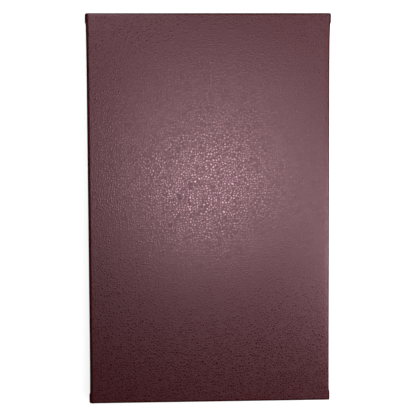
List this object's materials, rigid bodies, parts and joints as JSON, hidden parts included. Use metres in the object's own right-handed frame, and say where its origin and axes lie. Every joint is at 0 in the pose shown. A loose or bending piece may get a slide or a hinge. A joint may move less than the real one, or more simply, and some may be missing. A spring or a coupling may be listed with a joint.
{
  "type": "coin album",
  "caption": "Closed leatherette coin album with board covers and spine that fold open, a ring mechanism with opening rings, and clear pocket leaves backed by black cards.",
  "frame": {"origin": "centre of the outline on the back cover's outer face", "axes": "+X to the fore-edge, +Y to the head, +Z to the front cover"},
  "size_m": [0.162, 0.26, 0.04],
  "materials": {
    "leatherette": "satin",
    "lining": "matte",
    "board": "matte",
    "nickel": "polished",
    "spring_steel": "satin",
    "black_card": "matte",
    "clear_film": "gloss"
  },
  "bodies": {
    "back_cover": {"back_skin": "leatherette", "back_board": "board", "back_lining": "lining", "back_fold": "leatherette", "back_strip": "lining"},
    "spine": {"spine_skin": "leatherette", "spine_board": "board", "spine_lining": "lining", "front_fold": "leatherette", "front_strip": "lining", "ring_plate": "nickel", "head_rivet": "nickel", "tail_rivet": "nickel"},
    "front_cover": {"front_skin": "leatherette", "front_board": "board", "front_lining": "lining"},
    "upper_half_rings": {"upper_blade": "spring_steel", "upper_ring_1": "nickel", "upper_ring_2": "nickel", "upper_ring_3": "nickel", "upper_ring_4": "nickel"},
    "lower_half_rings": {"lower_blade": "spring_steel", "lower_ring_1": "nickel", "lower_ring_2": "nickel", "lower_ring_3": "nickel", "lower_ring_4": "nickel"},
    "head_lever": {"head_trigger": "nickel"},
    "tail_lever": {"tail_trigger": "nickel"},
    "leaf_1": {"leaf_1_card": "black_card", "leaf_1_film": "clear_film", "leaf_1_welds": "clear_film", "leaf_1_pockets": "clear_film"},
    "leaf_2": {"leaf_2_card": "black_card", "leaf_2_film": "clear_film", "leaf_2_welds": "clear_film", "leaf_2_pockets": "clear_film"},
    "leaf_3": {"leaf_3_card": "black_card", "leaf_3_film": "clear_film", "leaf_3_welds": "clear_film", "leaf_3_pockets": "clear_film"},
    "leaf_4": {"leaf_4_card": "black_card", "leaf_4_film": "clear_film", "leaf_4_welds": "clear_film", "leaf_4_pockets": "clear_film"},
    "leaf_5": {"leaf_5_card": "black_card", "leaf_5_film": "clear_film", "leaf_5_welds": "clear_film", "leaf_5_pockets": "clear_film"},
    "leaf_6": {"leaf_6_card": "black_card", "leaf_6_film": "clear_film", "leaf_6_welds": "clear_film", "leaf_6_pockets": "clear_film"},
    "leaf_7": {"leaf_7_card": "black_card", "leaf_7_film": "clear_film", "leaf_7_welds": "clear_film", "leaf_7_pockets": "clear_film"}
  },
  "joints": [
    {"name": "spine_hinge", "type": "hinge", "parent": "back_cover", "child": "spine", "pos_m": [-0.0801, 0, 0.0009], "axis": [0, -1, 0], "range_deg": [0, 90], "deforming": ["back_fold", "back_strip"]},
    {"name": "cover_hinge", "type": "hinge", "parent": "spine", "child": "front_cover", "pos_m": [-0.0801, 0, 0.0391], "axis": [0, -1, 0], "range_deg": [0, 90], "deforming": ["front_fold", "front_strip"]},
    {"name": "rings_open", "type": "hinge", "parent": "spine", "child": "upper_half_rings", "pos_m": [-0.07475, 0, 0.0278], "axis": [0, -1, 0], "range_deg": [0, 5.5]},
    {"name": "lower_rings_open", "type": "hinge", "parent": "spine", "child": "lower_half_rings", "pos_m": [-0.07475, 0, 0.0122], "axis": [0, -1, 0], "range_deg": [-5.5, 0]},
    {"name": "head_trigger_press", "type": "hinge", "parent": "spine", "child": "head_lever", "pos_m": [-0.07505, 0.115, 0.02], "axis": [0, 0, 1], "range_deg": [0, 13.1]},
    {"name": "tail_trigger_press", "type": "hinge", "parent": "spine", "child": "tail_lever", "pos_m": [-0.07505, -0.115, 0.02], "axis": [0, 0, -1], "range_deg": [0, 13.1]},
    {"name": "leaf_1_turn", "type": "hinge", "parent": "spine", "child": "leaf_1", "pos_m": [-0.06085, 0, 0.02], "axis": [0, -1, 0], "range_deg": [-76.51, 0]},
    {"name": "leaf_2_turn", "type": "hinge", "parent": "spine", "child": "leaf_2", "pos_m": [-0.06085, 0, 0.02], "axis": [0, -1, 0], "range_deg": [-51.76, 0]},
    {"name": "leaf_3_turn", "type": "hinge", "parent": "spine", "child": "leaf_3", "pos_m": [-0.06085, 0, 0.02], "axis": [0, -1, 0], "range_deg": [-27.01, 0]},
    {"name": "leaf_4_turn", "type": "hinge", "parent": "spine", "child": "leaf_4", "pos_m": [-0.06085, 0, 0.02], "axis": [0, -1, 0], "range_deg": [-2.26, 0]},
    {"name": "leaf_5_turn", "type": "hinge", "parent": "spine", "child": "leaf_5", "pos_m": [-0.06085, 0, 0.02], "axis": [0, -1, 0], "range_deg": [0, 22.51]},
    {"name": "leaf_6_turn", "type": "hinge", "parent": "spine", "child": "leaf_6", "pos_m": [-0.06085, 0, 0.02], "axis": [0, -1, 0], "range_deg": [0, 47.26]},
    {"name": "leaf_7_turn", "type": "hinge", "parent": "spine", "child": "leaf_7", "pos_m": [-0.06085, 0, 0.02], "axis": [0, -1, 0], "range_deg": [0, 72.01]}
  ],
  "couplings": [
    {"joint": "cover_hinge", "follows": "spine_hinge", "ratio": 1},
    {"joint": "lower_rings_open", "follows": "rings_open", "ratio": -1},
    {"joint": "head_trigger_press", "follows": "rings_open", "ratio": 2.3636},
    {"joint": "tail_trigger_press", "follows": "rings_open", "ratio": 2.3636},
    {"joint": "leaf_1_turn", "follows": "spine_hinge", "ratio": -0.85},
    {"joint": "leaf_2_turn", "follows": "spine_hinge", "ratio": -0.575},
    {"joint": "leaf_3_turn", "follows": "spine_hinge", "ratio": -0.3},
    {"joint": "leaf_4_turn", "follows": "spine_hinge", "ratio": -0.025},
    {"joint": "leaf_5_turn", "follows": "spine_hinge", "ratio": 0.25},
    {"joint": "leaf_6_turn", "follows": "spine_hinge", "ratio": 0.525},
    {"joint": "leaf_7_turn", "follows": "spine_hinge", "ratio": 0.8}
  ]
}
